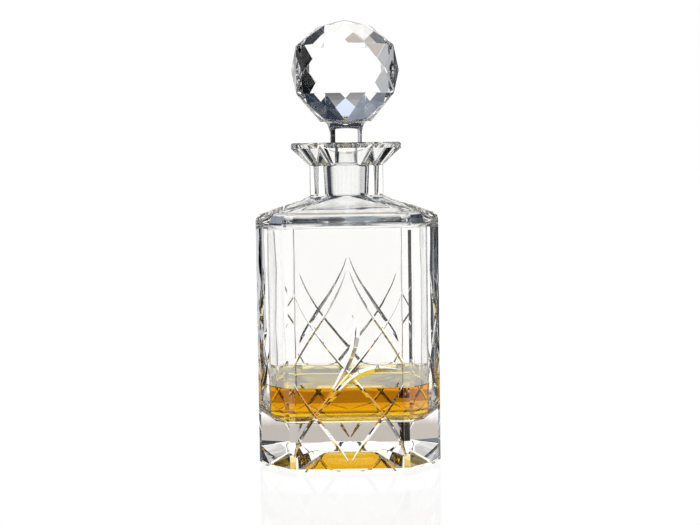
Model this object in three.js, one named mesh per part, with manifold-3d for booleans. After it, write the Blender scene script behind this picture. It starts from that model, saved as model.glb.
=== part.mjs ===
// A square cut-glass decanter with a faceted ball stopper and a little whisky in it.
// Millimetres, +Z up, origin at the centre of the underside, one wide face towards -Y.
import * as THREE from 'three';
import { ConvexGeometry } from 'three/addons/geometries/ConvexGeometry.js';
import { mergeVertices, toCreasedNormals } from 'three/addons/utils/BufferGeometryUtils.js';
import Module from 'manifold-3d';

// Body: a square bottle with cut-off corners. faceWidth is one wide face between two of them. A narrow
// flat facet runs up each of the eight upright edges, its own edges broken by facetBreak.
const bodyWidth = 97.8;
const faceWidth = 60.7;
const uprightFacetWidth = 3.4;
const facetBreak = 0.3;
const bodyHeight = 135;
const footBevel = 2;
const shoulderRise = 9.7;
const shoulderEdgeRadius = 4.5;

// Underside: a dish inside a flat standing rim. Its sides slope up to a flat middle, whose width is
// dishFlatShare of the dish's.
const standingRim = 3.9;
const dishDepth = 6.8;
const dishFlatShare = 0.45;

// Cavity. Its corners are cut off less than the body's, so the glass is thinner there. cavityFaceWidth is
// one wide wall between two of them.
const wallThickness = 8;
const cavityFaceWidth = 65;
const baseThickness = 24.4;
const floorEdgeRadius = 7;
const cavityEdgeRadius = 3;
const shoulderThickness = 6;
const ceilingEdgeRadius = 6;
const boreFootBevel = 2.5;

// Neck and pouring lip, cut-off squares like the body.
const neckWidth = 40.2;
const neckFaceWidth = 30;
const neckEdgeRadius = 2.5;
const neckHeight = 16.3;
const flareHeight = 9.4;
const rimWidth = 60.2;
const rimHeight = 3.1;
const rimEdgeRadius = 1.4;
const lipLand = 3.6;
const funnelDepth = 11.5;
const mouthRounding = 2;

// Ground joint: the stopper's tapered plug, and its clearance in the seat around it.
const plugTopDiameter = 25.4;
const plugBottomDiameter = 23.6;
const plugLength = 18.5;
const plugBevel = 0.8;
const jointClearance = 0.3;

// Stopper above the joint. coveLip is the ledge left between the cove and the ball's lowest corners.
const waistDiameter = 18.1;
const plugShoulderHeight = 3;
const waistHeight = 12.5;
const coveHeight = 7.6;
const coveLip = 0.8;
const ballRadius = 29.9;

// Rows of the ball's corners: the latitude in degrees, the distance from the ball's centre as a share
// of its radius, and whether the row is turned by half a step from its neighbours.
const facetsAround = 8;
const cornerRows = [
  { latitude: -63.4, reach: 1.054, turned: false },
  { latitude: -24.6, reach: 1.06, turned: true },
  { latitude: 0, reach: 1, turned: false },
  { latitude: 24.6, reach: 1.06, turned: true },
  { latitude: 58.2, reach: 0.954, turned: false },
];
const peakReach = 0.94;

// Whisky in the bottom of the cavity.
const whiskyDepth = 18.8;
const whiskyClearance = 0.3;

// Cut ornament on the wide faces. A mitre cut is a groove with two sloping sides, slope times as wide on
// each side as it is deep. Each curve is given by four control points, across and up the face.
const wideFaces = 4;
const lineDepth = 0.95;
const lineSlope = 1;
const leafDepth = 1.3;
const leafSlope = 1.5;
const cutClearance = 1;
const cutSteps = 8;

// How deep a cut is along its length, as a share of its full depth: at its start and how fast it deepens
// from there, then the same from its end. A line fades in at its top. A leaf is pointed, and thins into its
// stalk.
const lineTaper = { start: 0.15, startRise: 1.5, end: 0.3, endRise: 6 };
const leafTaper = { start: 0.1, startRise: 3.6, end: 0.35, endRise: 1.1 };

// Trellis lines, on all the wide faces: each is drawn once and mirrored.
const trellisLines = [
  [[-29.5, 99.5], [-22, 66], [28, 31], [30, 5]],
  [[-1, 106], [-6.5, 86.5], [-22, 73], [-30, 54]],
  [[-30.5, 51.5], [-27.5, 40], [-13, 25], [-0.5, 5]],
];

// Leaves on the front face, from the tip to the stalk: one upright and one that arches to the right.
const leaves = [
  [[2, 83.5], [10, 73], [-6, 46.5], [-12, 38.5]],
  [[27, 54], [3.5, 58.5], [-1, 45.5], [-12, 36.5]],
];

// Fineness of the rounded shapes, the angle from which an edge shows as sharp, and the smallest rounding
// that an inner corner keeps.
const stepsPerEdge = 3;
const arcSteps = 4;
const turnedSides = 48;
const creaseAngle = Math.PI / 12;
const leastRounding = 1;

// Sizes and heights that follow from those above.
const bodyHalf = bodyWidth / 2;
const cavityHalf = bodyHalf - wallThickness;
const neckHalf = neckWidth / 2;
const rimHalf = rimWidth / 2;
const neckFoot = bodyHeight + shoulderRise;
const flareFoot = neckFoot + neckHeight;
const rimFoot = flareFoot + flareHeight;
const rimTop = rimFoot + rimHeight;
const plugTop = rimTop - funnelDepth;
const plugBottom = plugTop - plugLength;
const shoulderRun = bodyHalf - neckHalf;
const shoulderAngle = Math.atan2(shoulderRise, shoulderRun);
const shoulderTurn = Math.PI / 2 - shoulderAngle;

// A cut square has eight corners, 45 degrees apart.
const cornersAround = 8;
const cornerTurn = 2 * Math.PI / cornersAround;
const pointsAround = cornersAround * (stepsPerEdge + 1);

// How much half of a wide face shrinks for each millimetre that the outline moves inwards.
const faceShare = Math.tan(cornerTurn / 2);

// Outline of a square with cut-off corners, its eight remaining corners rounded to edgeRadius.
function cutSquare(halfWidth, halfFace, edgeRadius) {
  const chamferDistance = (halfWidth + halfFace) / Math.SQRT2;
  const farSide = halfWidth - edgeRadius;
  const nearSide = Math.SQRT2 * (chamferDistance - edgeRadius) - farSide;
  const points = [];
  for (let corner = 0; corner < cornersAround; corner++) {
    const centre = new THREE.Vector2(farSide, nearSide);
    if (corner % 2 === 1) {
      centre.set(nearSide, farSide);
    }
    centre.rotateAround(new THREE.Vector2(), (corner - corner % 2) * cornerTurn);
    for (let step = 0; step <= stepsPerEdge; step++) {
      const direction = heading((corner + step / stepsPerEdge) * cornerTurn);
      points.push(direction.multiplyScalar(edgeRadius).add(centre));
    }
  }
  return points;
}

// Unit vector at an angle from +X.
function heading(angle) {
  return new THREE.Vector2(Math.cos(angle), Math.sin(angle));
}

// Outline of a cut square with a narrow flat facet on each of its eight corners. It takes four points a
// corner, as many as a rounded corner has.
function facetedSquare(halfWidth, halfFace) {
  const facetHalf = uprightFacetWidth / 2;
  const points = [];
  for (let corner = 0; corner < cornersAround; corner++) {
    const sharp = new THREE.Vector2(halfWidth, halfFace);
    if (corner % 2 === 1) {
      sharp.set(halfFace, halfWidth);
    }
    sharp.rotateAround(new THREE.Vector2(), (corner - corner % 2) * cornerTurn);
    const middle = (corner + 0.5) * cornerTurn;
    const side = heading(middle + Math.PI / 2);
    const facetCentre = sharp.addScaledVector(heading(middle), -facetHalf * Math.tan(cornerTurn / 2));
    const firstEdge = facetCentre.clone().addScaledVector(side, -facetHalf);
    const secondEdge = facetCentre.clone().addScaledVector(side, facetHalf);
    points.push(
      firstEdge.clone().addScaledVector(heading(middle - (Math.PI + cornerTurn) / 2), facetBreak),
      firstEdge.addScaledVector(side, facetBreak),
      secondEdge.clone().addScaledVector(side, -facetBreak),
      secondEdge.addScaledVector(heading(middle + (Math.PI + cornerTurn) / 2), facetBreak),
    );
  }
  return points;
}

// Circle with as many points as a cut square, so that one skin can join the two.
function circle(radius) {
  const points = [];
  for (let index = 0; index < pointsAround; index++) {
    points.push(heading((index + 0.5) * 2 * Math.PI / pointsAround).multiplyScalar(radius));
  }
  return points;
}

// Outline of the body at a small distance inside its outer faces.
function bodyOutline(inset) {
  return facetedSquare(bodyHalf - inset, faceWidth / 2 - inset * faceShare);
}

// Outline of the cavity at a distance inside its walls.
function cavityOutline(inset) {
  const edgeRadius = Math.max(cavityEdgeRadius - inset, leastRounding);
  return cutSquare(cavityHalf - inset, cavityFaceWidth / 2 - inset * faceShare, edgeRadius);
}

const bodySection = bodyOutline(0);
const neckSection = cutSquare(neckHalf, neckFaceWidth / 2, neckEdgeRadius);

// Outline of the shoulder, which narrows evenly from the body to the neck.
function shoulderOutline(halfWidth) {
  const share = (halfWidth - neckHalf) / shoulderRun;
  return neckSection.map((point, index) => point.clone().lerp(bodySection[index], share));
}

// Outline of the lip, whose wide faces are as wide as the neck's.
function rimOutline(halfWidth) {
  return cutSquare(halfWidth, neckFaceWidth / 2, neckEdgeRadius);
}

// Points on an arc, in a half plane of distance from the axis and height.
function arc(distance, height, radius, fromAngle, toAngle) {
  const points = [];
  for (let step = 0; step <= arcSteps; step++) {
    const angle = THREE.MathUtils.lerp(fromAngle, toAngle, step / arcSteps);
    points.push({
      distance: distance + radius * Math.cos(angle),
      height: height + radius * Math.sin(angle),
    });
  }
  return points;
}

// Stack of outlines along an arc, with one outline for each distance from the axis.
function along(arcPoints, outlineAt) {
  return arcPoints.map(({ distance, height }) => ({ outline: outlineAt(distance), height }));
}

// Closed skin through a stack of outlines, drawn together to a point on the axis at both ends.
function skin(startHeight, stations, endHeight) {
  const positions = [0, 0, startHeight];
  for (const { outline, height } of stations) {
    for (const point of outline) {
      positions.push(point.x, point.y, height);
    }
  }
  positions.push(0, 0, endHeight);

  const indices = [];
  const lastRow = 1 + (stations.length - 1) * pointsAround;
  const endPoint = lastRow + pointsAround;
  for (let index = 0; index < pointsAround; index++) {
    const next = (index + 1) % pointsAround;
    indices.push(0, 1 + next, 1 + index);
    for (let row = 1; row < lastRow; row += pointsAround) {
      const following = row + pointsAround;
      indices.push(row + index, row + next, following + next);
      indices.push(row + index, following + next, following + index);
    }
    indices.push(lastRow + index, lastRow + next, endPoint);
  }

  const geometry = new THREE.BufferGeometry();
  geometry.setAttribute('position', new THREE.Float32BufferAttribute(positions, 3));
  geometry.setIndex(indices);
  geometry.computeVertexNormals();
  return geometry;
}

// Radius of the stopper's plug at a height.
function plugRadius(height) {
  const share = (height - plugBottom) / plugLength;
  return THREE.MathUtils.lerp(plugBottomDiameter, plugTopDiameter, share) / 2;
}

// Radius of the tapered seat around the plug at a height.
function seatRadius(height) {
  return plugRadius(height) + jointClearance;
}

// Height of the cavity's ceiling, which is parallel to the shoulder, at a distance from the axis.
function ceilingHeight(distance) {
  const shoulderHeight = bodyHeight + (bodyHalf - distance) * Math.tan(shoulderAngle);
  return shoulderHeight - shoulderThickness / Math.cos(shoulderAngle);
}

// Underside, from the axis outwards: the dish, and the flat standing rim around it.
function undersideStations() {
  const dish = bodyOutline(footBevel + standingRim);
  return [
    { outline: dish.map((point) => point.clone().multiplyScalar(dishFlatShare)), height: dishDepth },
    { outline: dish, height: 0 },
    { outline: bodyOutline(footBevel), height: 0 },
  ];
}

// Outside of the body, shoulder, neck and lip, from the foot upwards.
function outerStations() {
  const edgeDrop = shoulderEdgeRadius * Math.tan(shoulderTurn / 2);
  const shoulderEdge = arc(
    bodyHalf - shoulderEdgeRadius, bodyHeight - edgeDrop, shoulderEdgeRadius, 0, shoulderTurn,
  );
  const rimEdge = arc(rimHalf - rimEdgeRadius, rimTop - rimEdgeRadius, rimEdgeRadius, 0, Math.PI / 2);
  return [
    { outline: bodySection, height: footBevel },
    ...along(shoulderEdge, shoulderOutline),
    { outline: neckSection, height: neckFoot },
    { outline: neckSection, height: flareFoot },
    { outline: rimOutline(rimHalf), height: rimFoot },
    ...along(rimEdge, rimOutline),
  ];
}

// Pouring funnel and tapered seat, from the lip downwards.
function mouthStations() {
  const seatTop = plugTop - mouthRounding;
  const mouth = arc(
    seatRadius(seatTop) + mouthRounding, seatTop, mouthRounding, Math.PI / 2, Math.PI,
  );
  const boreRadius = seatRadius(plugBottom);
  const seatFoot = ceilingHeight(boreRadius) + boreFootBevel;
  return [
    { outline: circle(rimHalf - rimEdgeRadius - lipLand), height: rimTop },
    ...along(mouth, circle),
    { outline: circle(seatRadius(seatFoot)), height: seatFoot },
    { outline: circle(boreRadius + boreFootBevel), height: ceilingHeight(boreRadius + boreFootBevel) },
  ];
}

// Rounded edge between the cavity's ceiling and its walls, from the ceiling downwards.
function ceilingStations() {
  const edgeDrop = ceilingEdgeRadius * Math.tan(shoulderTurn / 2);
  const ceilingEdge = arc(
    cavityHalf - ceilingEdgeRadius, ceilingHeight(cavityHalf) - edgeDrop, ceilingEdgeRadius, shoulderTurn, 0,
  );
  return along(ceilingEdge, (distance) => cavityOutline(cavityHalf - distance));
}

// Rounded edge between the walls and the floor, from the walls inwards, at a clearance inside them.
function floorStations(clearance) {
  const floorEdge = arc(
    cavityHalf - floorEdgeRadius,
    baseThickness + floorEdgeRadius,
    floorEdgeRadius - clearance,
    0,
    -Math.PI / 2,
  );
  return along(floorEdge, (distance) => cavityOutline(cavityHalf - distance));
}

// The bottle before its faces are cut.
function blankGeometry() {
  const stations = [
    ...undersideStations(),
    ...outerStations(),
    ...mouthStations(),
    ...ceilingStations(),
    ...floorStations(0),
  ];
  return skin(dishDepth, stations, baseThickness);
}

function whiskyGeometry() {
  const level = baseThickness + whiskyDepth;
  const stations = [
    ...floorStations(whiskyClearance).reverse(),
    { outline: cavityOutline(whiskyClearance), height: level },
  ];
  return skin(baseThickness + whiskyClearance, stations, level);
}

// Corners of one row of the ball, around the ball's own centre.
function rowCorners({ latitude, reach, turned }) {
  const corners = [];
  const distance = ballRadius * reach;
  for (let corner = 0; corner < facetsAround; corner++) {
    const around = (corner + (turned ? 0.5 : 0)) * 2 * Math.PI / facetsAround;
    const polar = THREE.MathUtils.degToRad(90 - latitude);
    const point = new THREE.Vector3().setFromSphericalCoords(distance, polar, around);
    corners.push(new THREE.Vector3(point.z, point.x, point.y));
  }
  return corners;
}

// The ball, cut into flat facets between its rows of corners and a blunt peak.
function ballGeometry(centreHeight) {
  const corners = cornerRows.flatMap(rowCorners);
  corners.push(new THREE.Vector3(0, 0, ballRadius * peakReach));
  const geometry = new ConvexGeometry(corners);
  geometry.translate(0, 0, centreHeight);
  return geometry;
}

// Plug, waist and cove, turned about the axis. The top end is hidden inside the ball.
function stemGeometry(coveTop, coveTopRadius, hiddenHeight) {
  const waistRadius = waistDiameter / 2;
  const plugFootRadius = plugBottomDiameter / 2;
  const profile = [
    new THREE.Vector2(0, -plugLength),
    new THREE.Vector2(plugFootRadius - plugBevel, -plugLength),
    new THREE.Vector2(plugRadius(plugBottom + plugBevel), plugBevel - plugLength),
  ];
  for (let step = 0; step <= arcSteps; step++) {
    const share = (1 - Math.cos(Math.PI * step / arcSteps)) / 2;
    const radius = THREE.MathUtils.lerp(plugTopDiameter / 2, waistRadius, share);
    profile.push(new THREE.Vector2(radius, plugShoulderHeight * step / arcSteps));
  }
  for (let step = 0; step <= arcSteps; step++) {
    const angle = Math.PI / 2 * step / arcSteps;
    const radius = waistRadius + (coveTopRadius - waistRadius) * (1 - Math.cos(angle));
    profile.push(new THREE.Vector2(radius, coveTop - coveHeight * (1 - Math.sin(angle))));
  }
  profile.push(new THREE.Vector2(coveTopRadius, coveTop + hiddenHeight));
  profile.push(new THREE.Vector2(0, coveTop + hiddenHeight));
  return new THREE.LatheGeometry(profile, turnedSides).rotateX(Math.PI / 2);
}

const wasm = await Module();
wasm.setup();

// Solid for joining, made from a closed geometry with its shared corners merged.
function solidFrom(geometry) {
  const bare = geometry.clone();
  bare.deleteAttribute('normal');
  bare.deleteAttribute('uv');
  const merged = mergeVertices(bare);
  return new wasm.Manifold(new wasm.Mesh({
    numProp: 3,
    vertProperties: new Float32Array(merged.attributes.position.array),
    triVerts: new Uint32Array(merged.index.array),
  }));
}

function geometryFrom(solid) {
  const { vertProperties, triVerts } = solid.getMesh();
  const geometry = new THREE.BufferGeometry();
  geometry.setAttribute('position', new THREE.Float32BufferAttribute(vertProperties, 3));
  geometry.setIndex([...triVerts]);
  return toCreasedNormals(geometry, creaseAngle);
}

// Share of a cut's full depth at a share of its length.
function depthShare(taper, share) {
  return Math.min(1, taper.start + taper.startRise * share, taper.end + taper.endRise * (1 - share));
}

// Three-sided bar along a curve, the piece of glass that one mitre cut takes out of the front face.
function cutGeometry(controls, depth, slope, taper) {
  const curve = new THREE.CubicBezierCurve(...controls.map(([across, up]) => new THREE.Vector2(across, up)));
  const positions = [];
  for (let step = 0; step <= cutSteps; step++) {
    const share = step / cutSteps;
    const centre = curve.getPoint(share);
    const along = curve.getTangent(share);
    const depthHere = depth * depthShare(taper, share);
    const halfWidth = (depthHere + cutClearance) * slope;
    const outside = -bodyHalf - cutClearance;
    positions.push(centre.x, -bodyHalf + depthHere, centre.y);
    positions.push(centre.x - along.y * halfWidth, outside, centre.y + along.x * halfWidth);
    positions.push(centre.x + along.y * halfWidth, outside, centre.y - along.x * halfWidth);
  }
  const indices = [0, 2, 1];
  for (let row = 0; row < 3 * cutSteps; row += 3) {
    for (let side = 0; side < 3; side++) {
      const here = row + side;
      const beside = row + (side + 1) % 3;
      indices.push(here, beside, here + 3, beside, beside + 3, here + 3);
    }
  }
  const last = 3 * cutSteps;
  indices.push(last, last + 1, last + 2);
  const geometry = new THREE.BufferGeometry();
  geometry.setAttribute('position', new THREE.Float32BufferAttribute(positions, 3));
  geometry.setIndex(indices);
  return geometry;
}

// Everything that is cut out of the four wide faces.
function ornamentSolid() {
  const lines = [];
  for (const controls of trellisLines) {
    const mirrored = controls.map(([across, up]) => [-across, up]);
    lines.push(cutGeometry(controls, lineDepth, lineSlope, lineTaper));
    lines.push(cutGeometry(mirrored, lineDepth, lineSlope, lineTaper));
  }
  const trellis = wasm.Manifold.union(lines.map(solidFrom));
  const cuts = leaves.map((controls) => solidFrom(cutGeometry(controls, leafDepth, leafSlope, leafTaper)));
  for (let face = 0; face < wideFaces; face++) {
    cuts.push(trellis.rotate([0, 0, face * 360 / wideFaces]));
  }
  return wasm.Manifold.union(cuts);
}

function bottleGeometry() {
  return geometryFrom(solidFrom(blankGeometry()).subtract(ornamentSolid()));
}

// The stopper in its own frame: the origin is at the top of the plug.
function stopperGeometry() {
  const lowestRow = rowCorners(cornerRows[0]);
  const lowestRadius = Math.hypot(lowestRow[0].x, lowestRow[0].y);
  const coveTop = plugShoulderHeight + waistHeight + coveHeight;
  const coveTopRadius = lowestRadius * Math.cos(Math.PI / facetsAround) - coveLip;
  const ball = solidFrom(ballGeometry(coveTop - lowestRow[0].z));
  const stem = solidFrom(stemGeometry(coveTop, coveTopRadius, -lowestRow[0].z));
  return geometryFrom(ball.add(stem));
}

const glass = new THREE.MeshStandardMaterial({
  color: 0xe3e8e8,
  roughness: 0.03,
  metalness: 0,
  transparent: true,
  opacity: 0.35,
});
const whiskyLiquid = new THREE.MeshStandardMaterial({
  color: 0xd38a08,
  roughness: 0.02,
  metalness: 0,
  transparent: true,
  opacity: 0.75,
});

const decanter = new THREE.Group();

const body = new THREE.Mesh(bottleGeometry(), glass);
body.name = 'decanter_body';
decanter.add(body);

const whisky = new THREE.Mesh(whiskyGeometry(), whiskyLiquid);
whisky.name = 'whisky';
decanter.add(whisky);

const stopper = new THREE.Mesh(stopperGeometry(), glass);
stopper.name = 'stopper';
stopper.position.z = plugTop;
decanter.add(stopper);

export default decanter;
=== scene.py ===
"""A square cut-glass decanter with a faceted ball stopper and a little whisky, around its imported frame."""

import math

import bmesh
import bpy
from mathutils import Matrix, Vector, noise


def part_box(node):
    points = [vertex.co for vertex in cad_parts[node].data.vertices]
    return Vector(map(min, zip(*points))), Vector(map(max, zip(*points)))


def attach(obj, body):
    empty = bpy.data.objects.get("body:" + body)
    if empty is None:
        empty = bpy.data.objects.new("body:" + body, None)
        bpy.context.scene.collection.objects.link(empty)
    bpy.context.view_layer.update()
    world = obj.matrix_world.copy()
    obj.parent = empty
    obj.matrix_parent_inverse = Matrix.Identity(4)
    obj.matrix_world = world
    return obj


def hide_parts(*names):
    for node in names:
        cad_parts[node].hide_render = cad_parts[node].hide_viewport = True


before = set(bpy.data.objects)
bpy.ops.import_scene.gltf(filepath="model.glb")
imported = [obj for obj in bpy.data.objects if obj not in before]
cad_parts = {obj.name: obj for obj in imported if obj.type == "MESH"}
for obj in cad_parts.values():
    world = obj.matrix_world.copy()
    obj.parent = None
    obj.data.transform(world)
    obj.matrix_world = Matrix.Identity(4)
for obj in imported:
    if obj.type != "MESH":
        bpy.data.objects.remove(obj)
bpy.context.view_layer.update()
_, body_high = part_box("decanter_body")
stopper_low, stopper_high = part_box("stopper")
_, whisky_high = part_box("whisky")

# Shapes are worked out in millimetres and brought to metres when a piece is finished.
MM = 0.001

# Body: a square bottle with cut-off corners.
BODY_HALF = body_high.x / MM
FACE_HALF = 30.35
SHOULDER_FOOT = 135.0
NECK_FOOT = 144.7
FOOT_BEVEL = 2.0
UPRIGHT_FACET = 3.4
SHOULDER_ROUNDING = 4.5

# Neck and pouring lip.
NECK_HALF = 20.1
NECK_FACE_HALF = 15.0
NECK_ROUNDING = 2.5
FLARE_FOOT = 161.0
RIM_HALF = 30.1
RIM_FOOT = 170.4
RIM_TOP = body_high.z / MM
RIM_ROUNDING = 1.4
LIP_LAND = 3.6

# Underside: a dish inside a flat standing rim, with sloping sides and a flat middle.
STANDING_RIM = 3.9
DISH_DEPTH = 6.8
DISH_FLAT_SHARE = 0.45

# Cavity.
WALL = 8.0
FLOOR = 24.4
FLOOR_ROUNDING = 7.0
CAVITY_FACE_HALF = 32.5
CAVITY_ROUNDING = 3.0
SMALLEST_ROUNDING = 1.0
SHOULDER_THICKNESS = 6.0
CEILING_ROUNDING = 6.0
BORE_FOOT_BEVEL = 2.5

# Ground joint: the stopper's tapered plug, and the seat around it.
PLUG_TOP_RADIUS = 12.7
PLUG_FOOT_RADIUS = 11.8
PLUG_LENGTH = 18.5
PLUG_BEVEL = 0.8
SEAT_GAP = 0.3
MOUTH_ROUNDING = 2.0

# Stopper above the joint. COVE_LIP is the ledge between the cove and the ball's lowest corners.
PLUG_SHOULDER = 3.0
WAIST_RADIUS = 9.05
WAIST_HEIGHT = 12.5
COVE_HEIGHT = 7.6
COVE_LIP = 0.8

# Ball: rows of corners as latitude, reach as a share of the radius, and turn in facet steps.
BALL_RADIUS = stopper_high.x / MM
BALL_ROWS = (
    (-63.4, 1.054, 0.0),
    (-24.6, 1.06, 0.5),
    (0.0, 1.0, 0.0),
    (24.6, 1.06, 0.5),
    (58.2, 0.954, 0.0),
)
BALL_PEAK = 0.94
FACETS_AROUND = 8
FACET_BEVEL = 0.18
BEVEL_SEGMENTS = 2

# Whisky: it reaches a little into the glass, so that no air is between the two, and climbs up it by a
# meniscus. WHISKY_CORE is the radius of the middle of its surface.
WHISKY_LEVEL = whisky_high.z / MM
WHISKY_OVERLAP = 0.15
MENISCUS_RISE = 0.9
MENISCUS_REACH = 3.0
WHISKY_CORE = 2.0

# Ripple of the cavity's fire-polished skin, the same in each run.
RIPPLE_HEIGHT = 0.1
RIPPLE_LENGTH = 16.0
RIPPLE_SEED = 1

# Rounding of the upright facets' edges.
FACET_ROUNDING = 0.35

# Cut ornament on the wide faces: depth of each groove, its half width as a share of its depth, and how the
# depth changes along it. A taper has the depth's share at the start and how fast it grows from there, then
# the same from the end. Curves are control points across and up the face.
WIDE_FACES = 4
LINE_DEPTH = 0.95
LINE_SLOPE = 1.0
LINE_TAPER = (0.15, 1.5, 0.3, 6.0)
LEAF_DEPTH = 1.3
LEAF_SLOPE = 1.5
LEAF_TAPER = (0.1, 3.6, 0.35, 1.1)
CUT_CLEARANCE = 1.0

# Each trellis line is drawn once and mirrored. The leaves are on the front face alone.
TRELLIS_LINES = (
    ((-29.5, 99.5), (-22.0, 66.0), (28.0, 31.0), (30.0, 5.0)),
    ((-1.0, 106.0), (-6.5, 86.5), (-22.0, 73.0), (-30.0, 54.0)),
    ((-30.5, 51.5), (-27.5, 40.0), (-13.0, 25.0), (-0.5, 5.0)),
)
LEAVES = (
    ((2.0, 83.5), (10.0, 73.0), (-6.0, 46.5), (-12.0, 38.5)),
    ((27.0, 54.0), (3.5, 58.5), (-1.0, 45.5), (-12.0, 36.5)),
)

# Corners of a cut square, and the fineness of the rounded shapes.
CORNERS = 8
EDGE_STEPS = 7
FLAT_STEPS = 6
ARC_STEPS = 8
DISH_STEPS = 20
CUT_STEPS = 36
WALL_STEP = 3.0
TURNED_SIDES = 96

# Bends in degrees: the widest that is still one flat facet, and the least that shows as a sharp edge.
FLAT_ANGLE = 1.5
GLASS_SHARP_ANGLE = 25
WHISKY_SHARP_ANGLE = 40

# Distance below which two points are one.
SAME_POINT = 0.001

# Sizes that follow from those above.
CORNER_TURN = 2 * math.pi / CORNERS
FACE_SHARE = math.tan(CORNER_TURN / 2)
POINTS_AROUND = CORNERS * (EDGE_STEPS + FLAT_STEPS)
CAVITY_HALF = BODY_HALF - WALL
PLUG_FOOT = stopper_low.z / MM
PLUG_TOP = PLUG_FOOT + PLUG_LENGTH
WAIST_FOOT = PLUG_TOP + PLUG_SHOULDER
COVE_FOOT = WAIST_FOOT + WAIST_HEIGHT
COVE_TOP = COVE_FOOT + COVE_HEIGHT
SHOULDER_ANGLE = math.atan2(NECK_FOOT - SHOULDER_FOOT, BODY_HALF - NECK_HALF)
SHOULDER_TURN = math.pi / 2 - SHOULDER_ANGLE


# Outlines, as points around the axis

def heading(angle):
    """Unit vector at an angle from +X."""
    return Vector((math.cos(angle), math.sin(angle)))


def rounded_corner(corner, start, end, radius, steps):
    """Arc in the corner between two flats, which face the start and the end angle."""
    centre = corner - heading((start + end) / 2) * radius / math.cos((end - start) / 2)
    turns = [start + (end - start) * step / steps for step in range(steps + 1)]
    return [centre + radius * heading(turn) for turn in turns]


def faceted_corner(corner, start, end, width):
    """Narrow flat facet across the corner between two flats, its own two edges finely rounded."""
    middle = (start + end) / 2
    inset = width / 2 * math.tan((end - start) / 2)
    ridge = corner - heading(middle) * inset
    side = heading(middle + math.pi / 2) * width / 2
    first = rounded_corner(ridge - side, start, middle, FACET_ROUNDING, EDGE_STEPS // 2)
    second = rounded_corner(ridge + side, middle, end, FACET_ROUNDING, EDGE_STEPS // 2)
    return first + second


def cut_square(half_width, half_face, edge_radius=0.0, facet=0.0):
    """Square with cut-off corners. Its eight remaining corners are rounded, or have a narrow facet each."""
    arcs = []
    for index in range(CORNERS):
        corner = Vector((half_width, half_face) if index % 2 == 0 else (half_face, half_width))
        corner.rotate(Matrix.Rotation((index - index % 2) * CORNER_TURN, 2))
        start, end = index * CORNER_TURN, (index + 1) * CORNER_TURN
        if facet:
            arcs.append(faceted_corner(corner, start, end, facet))
        else:
            arcs.append(rounded_corner(corner, start, end, edge_radius, EDGE_STEPS))
    points = []
    for this_arc, next_arc in zip(arcs, arcs[1:] + arcs[:1]):
        points += this_arc
        points += [this_arc[-1].lerp(next_arc[0], step / FLAT_STEPS) for step in range(1, FLAT_STEPS)]
    return points


def circle(radius):
    """Circle with as many points as a cut square, so that one skin can join the two."""
    turn = 2 * math.pi / POINTS_AROUND
    return [radius * heading((index + FLAT_STEPS / 2) * turn) for index in range(POINTS_AROUND)]


def body_outline(inset):
    """Outline of the body at a small distance inside its outer faces."""
    return cut_square(BODY_HALF - inset, FACE_HALF - inset * FACE_SHARE, facet=UPRIGHT_FACET)


def cavity_outline(inset):
    """Outline of the cavity at a distance inside its walls."""
    edge_radius = max(CAVITY_ROUNDING - inset, SMALLEST_ROUNDING)
    return cut_square(CAVITY_HALF - inset, CAVITY_FACE_HALF - inset * FACE_SHARE, edge_radius)


def between(first, second, share):
    """Outline part of the way from one outline to another."""
    return [a.lerp(b, share) for a, b in zip(first, second)]


def arc(distance, height, radius, start, end):
    """Points of an arc, each a distance from the axis and a height."""
    angles = [start + (end - start) * step / ARC_STEPS for step in range(ARC_STEPS + 1)]
    return [(distance + radius * math.cos(angle), height + radius * math.sin(angle)) for angle in angles]


def ring(outline, height):
    """Outline lifted to a height."""
    return [Vector((point.x, point.y, height)) for point in outline]


def rippled(points):
    """Ring of the cavity's skin, moved a little as fire-polished glass is."""
    return [point + RIPPLE_HEIGHT * noise.noise_vector(point / RIPPLE_LENGTH) for point in points]


# Meshes

def swept(bm, rings):
    """Closed skin: a face on the first ring, extruded from ring to ring."""
    face = bm.faces.new([bm.verts.new(point) for point in rings[0]])
    passed = []
    for points in rings[1:]:
        grown = bmesh.ops.extrude_face_region(bm, geom=[face])["geom"]
        passed.append(face)
        face = next(item for item in grown if isinstance(item, bmesh.types.BMFace))
        for vert, point in zip(face.verts, points):
            vert.co = point
    bmesh.ops.delete(bm, geom=passed[1:], context="FACES_ONLY")


def closed(bm, smooth=True):
    """The same mesh with its faces pointing out, and shaded smooth or flat."""
    for face in bm.faces:
        face.smooth = smooth
    bmesh.ops.recalc_face_normals(bm, faces=bm.faces)
    return bm


def draft(name, bm):
    """Working object in millimetres, for a boolean."""
    mesh = bpy.data.meshes.new(name)
    bm.to_mesh(mesh)
    bm.free()
    piece = bpy.data.objects.new(name, mesh)
    bpy.context.scene.collection.objects.link(piece)
    return piece


def combined(first, second, operation):
    """Boolean of two closed meshes, whose parts may cross each other."""
    base = draft("base", first)
    tool = draft("tool", second)
    modifier = base.modifiers.new("combine", "BOOLEAN")
    modifier.operation = operation
    modifier.solver = "EXACT"
    modifier.use_self = True
    modifier.object = tool
    bm = bmesh.new()
    bm.from_object(base, bpy.context.evaluated_depsgraph_get())
    for piece in (base, tool):
        mesh = piece.data
        bpy.data.objects.remove(piece)
        bpy.data.meshes.remove(mesh)
    return bm


def finished(name, bm, body, material, sharp_angle):
    """Piece in metres, with its material, that rides on a body of the frame."""
    mesh = bpy.data.meshes.new(name)
    bm.to_mesh(mesh)
    bm.free()
    mesh.transform(Matrix.Scale(MM, 4))
    mesh.set_sharp_from_angle(angle=math.radians(sharp_angle))
    mesh.materials.append(material)
    piece = bpy.data.objects.new(name, mesh)
    bpy.context.scene.collection.objects.link(piece)
    weighting = piece.modifiers.new("flat faces", "WEIGHTED_NORMAL")
    weighting.keep_sharp = True
    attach(piece, body)
    return piece


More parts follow.
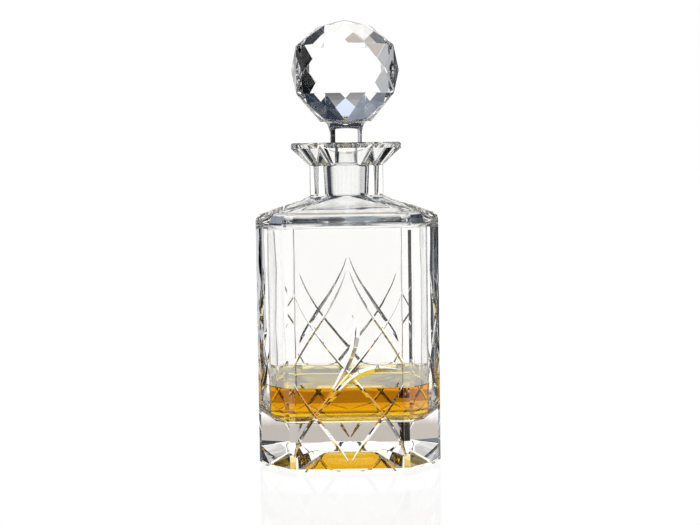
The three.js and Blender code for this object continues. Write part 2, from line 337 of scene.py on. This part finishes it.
# Bottle

def plug_radius(height):
    """Radius of the stopper's plug at a height."""
    share = (height - PLUG_FOOT) / PLUG_LENGTH
    return PLUG_FOOT_RADIUS + (PLUG_TOP_RADIUS - PLUG_FOOT_RADIUS) * share


def seat_radius(height):
    """Radius of the tapered seat around the plug at a height."""
    return plug_radius(height) + SEAT_GAP


def ceiling_height(distance):
    """Height of the cavity's ceiling, parallel to the shoulder, at a distance from the axis."""
    shoulder_height = SHOULDER_FOOT + (BODY_HALF - distance) * math.tan(SHOULDER_ANGLE)
    return shoulder_height - SHOULDER_THICKNESS / math.cos(SHOULDER_ANGLE)


def underside_rings():
    """Underside from the axis outwards: the dish and the flat standing rim around it."""
    dish = body_outline(FOOT_BEVEL + STANDING_RIM)
    rings = []
    for step in range(1, DISH_STEPS + 1):
        share = step / DISH_STEPS
        height = DISH_DEPTH * min(1.0, (1 - share) / (1 - DISH_FLAT_SHARE))
        rings.append(ring([share * point for point in dish], height))
    rings.append(ring(body_outline(FOOT_BEVEL), 0.0))
    return rings


def outer_rings():
    """Outside of the body, shoulder, neck and lip, from the foot upwards."""
    body = body_outline(0.0)
    neck = cut_square(NECK_HALF, NECK_FACE_HALF, NECK_ROUNDING)
    edge_drop = SHOULDER_ROUNDING * math.tan(SHOULDER_TURN / 2)
    shoulder_edge = arc(
        BODY_HALF - SHOULDER_ROUNDING, SHOULDER_FOOT - edge_drop, SHOULDER_ROUNDING, 0.0, SHOULDER_TURN
    )
    rim_edge = arc(RIM_HALF - RIM_ROUNDING, RIM_TOP - RIM_ROUNDING, RIM_ROUNDING, 0.0, math.pi / 2)
    rings = [ring(body, FOOT_BEVEL)]
    for distance, height in shoulder_edge:
        share = (distance - NECK_HALF) / (BODY_HALF - NECK_HALF)
        rings.append(ring(between(neck, body, share), height))
    rings.append(ring(neck, NECK_FOOT))
    rings.append(ring(neck, FLARE_FOOT))
    rings.append(ring(cut_square(RIM_HALF, NECK_FACE_HALF, NECK_ROUNDING), RIM_FOOT))
    for distance, height in rim_edge:
        rings.append(ring(cut_square(distance, NECK_FACE_HALF, NECK_ROUNDING), height))
    return rings


def mouth_rings():
    """Pouring funnel and tapered seat, from the lip downwards."""
    seat_top = PLUG_TOP - MOUTH_ROUNDING
    mouth = arc(seat_radius(seat_top) + MOUTH_ROUNDING, seat_top, MOUTH_ROUNDING, math.pi / 2, math.pi)
    bore_radius = seat_radius(PLUG_FOOT)
    seat_foot = ceiling_height(bore_radius) + BORE_FOOT_BEVEL
    rings = [ring(circle(RIM_HALF - RIM_ROUNDING - LIP_LAND), RIM_TOP)]
    rings += [ring(circle(distance), height) for distance, height in mouth]
    rings.append(ring(circle(seat_radius(seat_foot)), seat_foot))
    return rings


def cavity_rings():
    """Ceiling, walls and floor of the cavity, from the bore outwards and down."""
    mouth_radius = seat_radius(PLUG_FOOT) + BORE_FOOT_BEVEL
    edge_drop = CEILING_ROUNDING * math.tan(SHOULDER_TURN / 2)
    ceiling_edge = arc(
        CAVITY_HALF - CEILING_ROUNDING,
        ceiling_height(CAVITY_HALF) - edge_drop,
        CEILING_ROUNDING,
        SHOULDER_TURN,
        0.0,
    )
    edge_distance, _ = ceiling_edge[0]
    edge_outline = cavity_outline(CAVITY_HALF - edge_distance)
    rings = []
    for step in range(ARC_STEPS):
        share = step / ARC_STEPS
        distance = mouth_radius + (edge_distance - mouth_radius) * share
        rings.append(ring(between(circle(mouth_radius), edge_outline, share), ceiling_height(distance)))
    for distance, height in ceiling_edge:
        rings.append(ring(cavity_outline(CAVITY_HALF - distance), height))
    wall_top = ceiling_edge[-1][1]
    wall_foot = FLOOR + FLOOR_ROUNDING
    wall_steps = round((wall_top - wall_foot) / WALL_STEP)
    for step in range(1, wall_steps):
        rings.append(ring(cavity_outline(0.0), wall_top + (wall_foot - wall_top) * step / wall_steps))
    rings += reversed(floor_rings(0.0))
    return [rippled(points) for points in rings]


def floor_rings(overlap):
    """Floor of the cavity from the axis outwards and up its rounded edge, or a little inside the glass."""
    edge = arc(
        CAVITY_HALF - FLOOR_ROUNDING,
        FLOOR + FLOOR_ROUNDING,
        FLOOR_ROUNDING + overlap,
        -math.pi / 2,
        0.0,
    )
    flat_outline = cavity_outline(FLOOR_ROUNDING)
    rings = []
    for step in range(1, ARC_STEPS):
        rings.append(ring(between(circle(0.0), flat_outline, step / ARC_STEPS), FLOOR - overlap))
    for distance, height in edge:
        rings.append(ring(cavity_outline(CAVITY_HALF - distance), height))
    return rings


def bottle_mesh():
    """Bottle blank before its faces are cut."""
    bm = bmesh.new()
    swept(bm, underside_rings() + outer_rings() + mouth_rings() + cavity_rings())
    return closed(bm)


# Cut ornament

def bezier(points, share):
    """Point on a cubic curve through the first and last of four control points."""
    rows = [Vector(point) for point in points]
    while len(rows) > 1:
        rows = [a.lerp(b, share) for a, b in zip(rows, rows[1:])]
    return rows[0]


def depth_share(taper, share):
    """Share of a cut's full depth at a share of its length."""
    start, start_rise, end, end_rise = taper
    return min(1.0, start + start_rise * share, end + end_rise * (1 - share))


def add_cut(bm, controls, depth, slope, taper, turn):
    """Three-sided bar along a curve on one wide face: what the cutting wheel takes away."""
    outside = -BODY_HALF - CUT_CLEARANCE
    shares = [step / CUT_STEPS for step in range(CUT_STEPS + 1)]
    centres = [bezier(controls, share) for share in shares]
    rings = []
    for index, (share, centre) in enumerate(zip(shares, centres)):
        along = centres[min(index + 1, CUT_STEPS)] - centres[max(index - 1, 0)]
        depth_here = depth * depth_share(taper, share)
        across = along.orthogonal().normalized() * (depth_here + CUT_CLEARANCE) * slope
        rings.append([
            Vector((centre.x, -BODY_HALF + depth_here, centre.y)),
            Vector((centre.x + across.x, outside, centre.y + across.y)),
            Vector((centre.x - across.x, outside, centre.y - across.y)),
        ])
    spin = Matrix.Rotation(turn, 3, "Z")
    swept(bm, [[spin @ point for point in points] for points in rings])


def ornament_mesh():
    """All the bars that are cut out of the four wide faces."""
    bm = bmesh.new()
    for face in range(WIDE_FACES):
        turn = face * math.pi / 2
        for controls in TRELLIS_LINES:
            mirrored = [(-across, up) for across, up in controls]
            add_cut(bm, controls, LINE_DEPTH, LINE_SLOPE, LINE_TAPER, turn)
            add_cut(bm, mirrored, LINE_DEPTH, LINE_SLOPE, LINE_TAPER, turn)
    for controls in LEAVES:
        add_cut(bm, controls, LEAF_DEPTH, LEAF_SLOPE, LEAF_TAPER, 0.0)
    return closed(bm)


# Stopper

def row_corners(latitude, reach, turned):
    """Corners of one row of the ball, around the ball's own centre."""
    polar = math.radians(latitude)
    distance = BALL_RADIUS * reach
    corners = []
    for corner in range(FACETS_AROUND):
        around = heading((corner + turned) * 2 * math.pi / FACETS_AROUND) * distance * math.cos(polar)
        corners.append(Vector((around.x, around.y, distance * math.sin(polar))))
    return corners


def ball_mesh(centre_height):
    """Ball cut into flat facets with finely broken edges."""
    bm = bmesh.new()
    corners = [corner for row in BALL_ROWS for corner in row_corners(*row)]
    corners.append(Vector((0.0, 0.0, BALL_RADIUS * BALL_PEAK)))
    for corner in corners:
        bm.verts.new(corner)
    bmesh.ops.convex_hull(bm, input=bm.verts)
    bmesh.ops.dissolve_limit(bm, angle_limit=math.radians(FLAT_ANGLE), verts=bm.verts, edges=bm.edges)
    bmesh.ops.bevel(
        bm, geom=bm.edges, affect="EDGES", offset=FACET_BEVEL, segments=BEVEL_SEGMENTS,
        profile=0.5, material=-1,
    )
    bmesh.ops.translate(bm, vec=(0.0, 0.0, centre_height), verts=bm.verts)
    return closed(bm, smooth=False)


def stem_mesh(cove_top_radius, hidden_top):
    """Plug, waist and cove, turned about the axis. The top end is hidden inside the ball."""
    profile = [
        (0.0, PLUG_FOOT),
        (PLUG_FOOT_RADIUS - PLUG_BEVEL, PLUG_FOOT),
        (plug_radius(PLUG_FOOT + PLUG_BEVEL), PLUG_FOOT + PLUG_BEVEL),
    ]
    for step in range(ARC_STEPS + 1):
        share = step / ARC_STEPS
        swing = (1 - math.cos(math.pi * share)) / 2
        radius = PLUG_TOP_RADIUS + (WAIST_RADIUS - PLUG_TOP_RADIUS) * swing
        profile.append((radius, PLUG_TOP + (WAIST_FOOT - PLUG_TOP) * share))
    for step in range(ARC_STEPS + 1):
        angle = math.pi / 2 * step / ARC_STEPS
        radius = WAIST_RADIUS + (cove_top_radius - WAIST_RADIUS) * (1 - math.cos(angle))
        profile.append((radius, COVE_FOOT + (COVE_TOP - COVE_FOOT) * math.sin(angle)))
    profile += [(cove_top_radius, hidden_top), (0.0, hidden_top)]

    bm = bmesh.new()
    verts = [bm.verts.new((radius, 0.0, height)) for radius, height in profile]
    edges = [bm.edges.new(pair) for pair in zip(verts, verts[1:])]
    bmesh.ops.spin(
        bm, geom=verts + edges, axis=(0, 0, 1), cent=(0, 0, 0), angle=2 * math.pi,
        steps=TURNED_SIDES, use_merge=True,
    )
    bmesh.ops.remove_doubles(bm, verts=bm.verts, dist=SAME_POINT)
    return closed(bm)


def stopper_mesh():
    """Ball and stem as one solid."""
    lowest = row_corners(*BALL_ROWS[0])[0]
    cove_top_radius = lowest.to_2d().length * math.cos(math.pi / FACETS_AROUND) - COVE_LIP
    centre_height = COVE_TOP - lowest.z
    return combined(ball_mesh(centre_height), stem_mesh(cove_top_radius, centre_height), "UNION")


# Whisky

def whisky_mesh():
    """Liquid that wets the cavity's floor and walls, with its edge drawn up the glass."""
    bm = bmesh.new()
    rings = floor_rings(WHISKY_OVERLAP)
    rings.append(ring(cavity_outline(-WHISKY_OVERLAP), WHISKY_LEVEL + MENISCUS_RISE))
    for step in range(1, ARC_STEPS + 1):
        share = step / ARC_STEPS
        inset = MENISCUS_REACH * share
        rings.append(ring(cavity_outline(inset), WHISKY_LEVEL + MENISCUS_RISE * (1 - share) ** 3))
    rings.append(ring(circle(WHISKY_CORE), WHISKY_LEVEL))
    swept(bm, [rippled(points) for points in rings])
    return closed(bm)


# Shader maths

class Value:
    """A shader socket with arithmetic: each operation adds a Math node."""

    def __init__(self, graph, socket):
        self.graph = graph
        self.socket = socket

    def math(self, operation, *others):
        """Math node on this value and the others."""
        inputs = {index: other for index, other in enumerate((self, *others))}
        return self.graph.add("ShaderNodeMath", {"operation": operation}, inputs)

    def __add__(self, other):
        return self.math("ADD", other)

    def __mul__(self, other):
        return self.math("MULTIPLY", other)

    def __sub__(self, other):
        return self.math("SUBTRACT", other)

    def __rsub__(self, other):
        return self.math("MULTIPLY", -1.0) + other

    __radd__ = __add__
    __rmul__ = __mul__

    def azimuth(self, ahead):
        """Direction in degrees of a place this far to the right and that far ahead."""
        return self.math("ARCTAN2", ahead) * math.degrees(1.0)

    def smooth(self, low, high):
        """0 below low and 1 above high, or the other way round where high is below low."""
        settings = {"interpolation_type": "SMOOTHSTEP"}
        inputs = {"Value": self, "From Min": min(low, high), "From Max": max(low, high)}
        rising = self.graph.add("ShaderNodeMapRange", settings, inputs)
        return rising if low < high else 1 - rising

    def band(self, low, high, softness):
        """1 from low to high and 0 outside, with soft ends."""
        return self.smooth(low - softness, low + softness) * self.smooth(high + softness, high - softness)


class Graph:
    """Nodes of one material or of the world."""

    def __init__(self, tree):
        self.tree = tree
        tree.nodes.clear()

    def add(self, kind, settings=None, inputs=None, output=0):
        """Adds a node: its settings first, then the values or links of its sockets."""
        node = self.tree.nodes.new(kind)
        for name, value in (settings or {}).items():
            setattr(node, name, value)
        for name, value in (inputs or {}).items():
            if isinstance(value, Value):
                self.tree.links.new(value.socket, node.inputs[name])
            else:
                node.inputs[name].default_value = value
        return Value(self, node.outputs[output]) if node.outputs else node

    def parts(self, vector):
        """X, Y and Z of a vector."""
        split = self.add("ShaderNodeSeparateXYZ", None, {"Vector": vector}).socket.node
        return [Value(self, socket) for socket in split.outputs]

    def mix(self, share, first, second):
        """Colour part of the way from one colour to another."""
        # The Mix node's colours are its inputs 6 and 7 and its output 2.
        return self.add("ShaderNodeMix", {"data_type": "RGBA"}, {0: share, 6: first, 7: second}, output=2)


# Finishes

WHITE = (1.0, 1.0, 1.0, 1.0)

# Clear crystal: its tint, and the faint ripple and haze that polishing leaves. Scales are per metre.
CRYSTAL_TINT = (0.985, 0.99, 0.99, 1.0)
CRYSTAL_INDEX = 1.53
POLISH_SCALE = 70.0
POLISH_STRENGTH = 0.1
POLISH_DEPTH = 0.0003
HAZE_SCALE = 260.0
HAZE_RANGE = (0.45, 0.8)
HAZE_ROUGHNESS = 0.006

# Ground taper: how far its dull surfaces reach from the axis, how softly they end, and how rough they are.
JOINT_REACH = 13.0
JOINT_FADE = 0.05
JOINT_ROUGHNESS = 0.1

# Whisky: the tint that white light takes on its way through, and how fast.
WHISKY_INDEX = 1.36
WHISKY_TINT = (0.98, 0.89, 0.0, 1.0)
WHISKY_DENSITY = 124.0


def new_material(name):
    """Empty material and its graph."""
    material = bpy.data.materials.new(name)
    material.use_nodes = True
    return material, Graph(material.node_tree)


def glass_material():
    """Clear polished crystal with a faint polishing ripple, ground dull on the taper of the joint."""
    material, graph = new_material("polished crystal")
    place = graph.add("ShaderNodeTexCoord", output="Object")
    x, y, z = graph.parts(place)
    near_axis = (x * x + y * y).math("SQRT").smooth((JOINT_REACH + JOINT_FADE) * MM, JOINT_REACH * MM)
    joint_foot = (PLUG_FOOT + PLUG_BEVEL) * MM
    joint_top = (PLUG_TOP - MOUTH_ROUNDING) * MM
    joint = near_axis * z.band(joint_foot, joint_top, 2 * JOINT_FADE * MM)
    ripple = graph.add("ShaderNodeTexNoise", None, {"Vector": place, "Scale": POLISH_SCALE, "Detail": 1.0})
    haze = graph.add("ShaderNodeTexNoise", None, {"Vector": place, "Scale": HAZE_SCALE, "Detail": 4.0})
    relief = graph.add("ShaderNodeBump", None, {
        "Height": ripple,
        "Strength": POLISH_STRENGTH,
        "Distance": POLISH_DEPTH,
    })
    shader = graph.add("ShaderNodeBsdfPrincipled", None, {
        "Base Color": CRYSTAL_TINT,
        "Roughness": haze.smooth(*HAZE_RANGE) * HAZE_ROUGHNESS + joint * JOINT_ROUGHNESS,
        "IOR": CRYSTAL_INDEX,
        "Transmission Weight": 1.0,
        "Normal": relief,
    })
    graph.add("ShaderNodeOutputMaterial", None, {"Surface": shader})
    return material


def whisky_material():
    """Clear amber liquid that darkens with its depth."""
    material, graph = new_material("amber whisky")
    shader = graph.add("ShaderNodeBsdfPrincipled", None, {
        "Base Color": WHITE,
        "Roughness": 0.0,
        "IOR": WHISKY_INDEX,
        "Transmission Weight": 1.0,
    })
    depth = graph.add("ShaderNodeVolumeAbsorption", None, {"Color": WHISKY_TINT, "Density": WHISKY_DENSITY})
    graph.add("ShaderNodeOutputMaterial", None, {"Surface": shader, "Volume": depth})
    return material


# Studio

# Distances are in metres, and azimuths in degrees from straight behind the decanter towards its right.

# Table top, just below the decanter's foot: how much of it is mirror, and how blurred.
FLOOR_RADIUS = 6.0
FLOOR_SIDES = 96
FLOOR_DROP = 0.0002
FLOOR_MIRROR = 0.08
FLOOR_BLUR = 0.06

# What the glass sees of the table: from LIT_TABLE on it is lit like the backdrop. A lane in it is left out,
# so that the thin stand shows: its azimuth is measured at LANE_START, and it ends at LANE_END. The pairs
# LIT_TABLE and LANE_END are soft edges.
BACKDROP = (1.17, 1.15, 1.12, 1.0)
BACKDROP_AZIMUTH = (-36.0, 30.0)
BACKDROP_SOFTNESS = 2.0
LIT_TABLE = (0.4, 0.5)
LANE_START = (0.033, 0.049)
LANE_AZIMUTH = (-31.0, -6.0)
LANE_SOFTNESS = 0.5
LANE_END = (2.6, 2.4)

# Camera.
CAMERA_PLACE = (0.0016, -0.72, 0.168)
CAMERA_PITCH = -3.32
CAMERA_ROLL = -0.8
CAMERA_LENS = 66.5
CAMERA_SHIFT = -0.05


def add_camera():
    """Camera in front of the decanter, a little above its lip and pitched down."""
    data = bpy.data.cameras.new("camera")
    data.lens = CAMERA_LENS
    data.shift_y = CAMERA_SHIFT
    data.clip_start = 0.01
    data.clip_end = 20.0
    camera = bpy.data.objects.new("camera", data)
    bpy.context.scene.collection.objects.link(camera)
    tilt = Matrix.Rotation(math.radians(90 + CAMERA_PITCH), 4, "X")
    roll = Matrix.Rotation(math.radians(CAMERA_ROLL), 4, "Z")
    camera.matrix_world = Matrix.Translation(CAMERA_PLACE) @ tilt @ roll
    bpy.context.scene.camera = camera


def add_floor():
    """Pale, faintly glossy table top. The glass sees its lit part, and the panels through the rest."""
    bm = bmesh.new()
    bmesh.ops.create_circle(bm, cap_ends=True, segments=FLOOR_SIDES, radius=FLOOR_RADIUS)
    bmesh.ops.translate(bm, vec=(0.0, 0.0, -FLOOR_DROP), verts=bm.verts)
    mesh = bpy.data.meshes.new("floor")
    bm.to_mesh(mesh)
    bm.free()
    floor = bpy.data.objects.new("floor", mesh)
    bpy.context.scene.collection.objects.link(floor)

    material, graph = new_material("table top")
    seen = graph.add("ShaderNodeLightPath", output="Is Camera Ray")
    glow = graph.add("ShaderNodeEmission", None, {"Color": WHITE, "Strength": 1.0})
    mirror = graph.add("ShaderNodeBsdfGlossy", None, {"Color": WHITE, "Roughness": FLOOR_BLUR})
    top = graph.add("ShaderNodeMixShader", None, {0: FLOOR_MIRROR, 1: glow, 2: mirror})

    x, y, _ = graph.parts(graph.add("ShaderNodeTexCoord", output="Object"))
    distance = (x * x + y * y).math("SQRT")
    behind = x.azimuth(y).band(*BACKDROP_AZIMUTH, BACKDROP_SOFTNESS)
    start_x, start_y = LANE_START
    lane_azimuth = (x - start_x).azimuth(y - start_y)
    lane = lane_azimuth.band(*LANE_AZIMUTH, LANE_SOFTNESS) * distance.smooth(*LANE_END)
    lit_share = behind * distance.smooth(*LIT_TABLE) * (1 - lane)
    lit_part = graph.add("ShaderNodeEmission", None, {"Color": BACKDROP, "Strength": 1.0})
    clear_part = graph.add("ShaderNodeBsdfTransparent")
    seen_in_glass = graph.add("ShaderNodeMixShader", None, {0: lit_share, 1: clear_part, 2: lit_part})
    shader = graph.add("ShaderNodeMixShader", None, {0: seen, 1: seen_in_glass, 2: top})
    graph.add("ShaderNodeOutputMaterial", None, {"Surface": shader})
    mesh.materials.append(material)


# Panels of the studio: the range of azimuth and of elevation, in degrees, how soft the edges are, and the
# tone. A later panel lies over an earlier one, and all else has the room's tone.
ROOM_TONE = (0.03, 0.035, 0.045, 1.0)
PANELS = (
    # Room on each side of the black card around the camera.
    ((100.0, 167.0), (-26.0, -3.0), 4.0, (0.6, 0.6, 0.61, 1.0)),
    ((-167.0, -100.0), (-26.0, -3.0), 4.0, (0.6, 0.6, 0.61, 1.0)),
    # Room on the right and on the left.
    ((62.0, 125.0), (-20.0, 24.0), 4.0, (0.7, 0.7, 0.72, 1.0)),
    ((-55.0, -38.0), (-30.0, 24.0), 3.0, (0.5, 0.51, 0.53, 1.0)),
    # Lit backdrop, and the shaded part of the table behind the decanter.
    (BACKDROP_AZIMUTH, (-80.0, 25.0), BACKDROP_SOFTNESS, BACKDROP),
    ((-36.0, 34.0), (-26.0, -11.7), 0.3, (0.6, 0.55, 0.5, 1.0)),
    # Shaded wall above the backdrop, and a small window in it.
    ((-45.0, 6.0), (26.0, 60.0), 2.0, (0.28, 0.32, 0.38, 1.0)),
    ((6.0, 60.0), (26.0, 60.0), 2.0, (0.025, 0.04, 0.065, 1.0)),
    ((-6.0, 5.0), (30.0, 42.0), 1.5, (0.8, 0.9, 1.1, 1.0)),
    # Black flag on the right, and a thin black stand on the left with a foot that reaches inwards.
    ((31.0, 60.0), (-40.0, 24.0), 2.0, (0.005, 0.005, 0.005, 1.0)),
    ((-27.5, -17.0), (-9.8, -2.0), 0.3, (0.012, 0.007, 0.004, 1.0)),
    ((-13.2, -8.3), (-18.0, -9.8), 0.3, (0.012, 0.007, 0.004, 1.0)),
    # Softboxes beside the camera.
    ((150.0, 180.0), (2.0, 20.0), 3.0, (1.3, 1.3, 1.3, 1.0)),
    ((-180.0, -150.0), (2.0, 20.0), 3.0, (1.3, 1.3, 1.3, 1.0)),
)


def light_studio():
    """Lit panels around the decanter, seen only in its glass: the camera sees plain white."""
    world = bpy.data.worlds.new("studio")
    world.use_nodes = True
    bpy.context.scene.world = world
    graph = Graph(world.node_tree)
    direction = graph.add("ShaderNodeTexCoord", output="Generated")
    x, y, z = graph.parts(direction)
    azimuth = x.azimuth(y)
    elevation = z.math("ARCSINE") * math.degrees(1.0)
    colour = ROOM_TONE
    for sides, heights, softness, tone in PANELS:
        panel = azimuth.band(*sides, softness) * elevation.band(*heights, softness)
        colour = graph.mix(panel, colour, tone)
    seen = graph.add("ShaderNodeLightPath", output="Is Camera Ray")
    colour = graph.mix(seen, colour, WHITE)
    sky = graph.add("ShaderNodeBackground", None, {"Color": colour, "Strength": 1.0})
    graph.add("ShaderNodeOutputWorld", None, {"Surface": sky})


# Longest light paths, through glass and off shiny surfaces.
GLASS_BOUNCES = 32
GLOSSY_BOUNCES = 16


def set_render():
    """Light paths long enough for thick glass, and plain tones."""
    scene = bpy.context.scene
    scene.view_settings.view_transform = "Standard"
    scene.cycles.max_bounces = GLASS_BOUNCES
    scene.cycles.transmission_bounces = GLASS_BOUNCES
    scene.cycles.glossy_bounces = GLOSSY_BOUNCES


noise.seed_set(RIPPLE_SEED)
glass = glass_material()
cut_bottle = combined(bottle_mesh(), ornament_mesh(), "DIFFERENCE")
bottle = finished("cut_glass_bottle", cut_bottle, "bottle", glass, GLASS_SHARP_ANGLE)
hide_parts("decanter_body")
stopper = finished("faceted_stopper", stopper_mesh(), "stopper", glass, GLASS_SHARP_ANGLE)
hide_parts("stopper")
amber = whisky_material()
liquid = finished("amber_whisky", whisky_mesh(), "bottle", amber, WHISKY_SHARP_ANGLE)
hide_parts("whisky")

add_camera()
add_floor()
light_studio()
set_render()
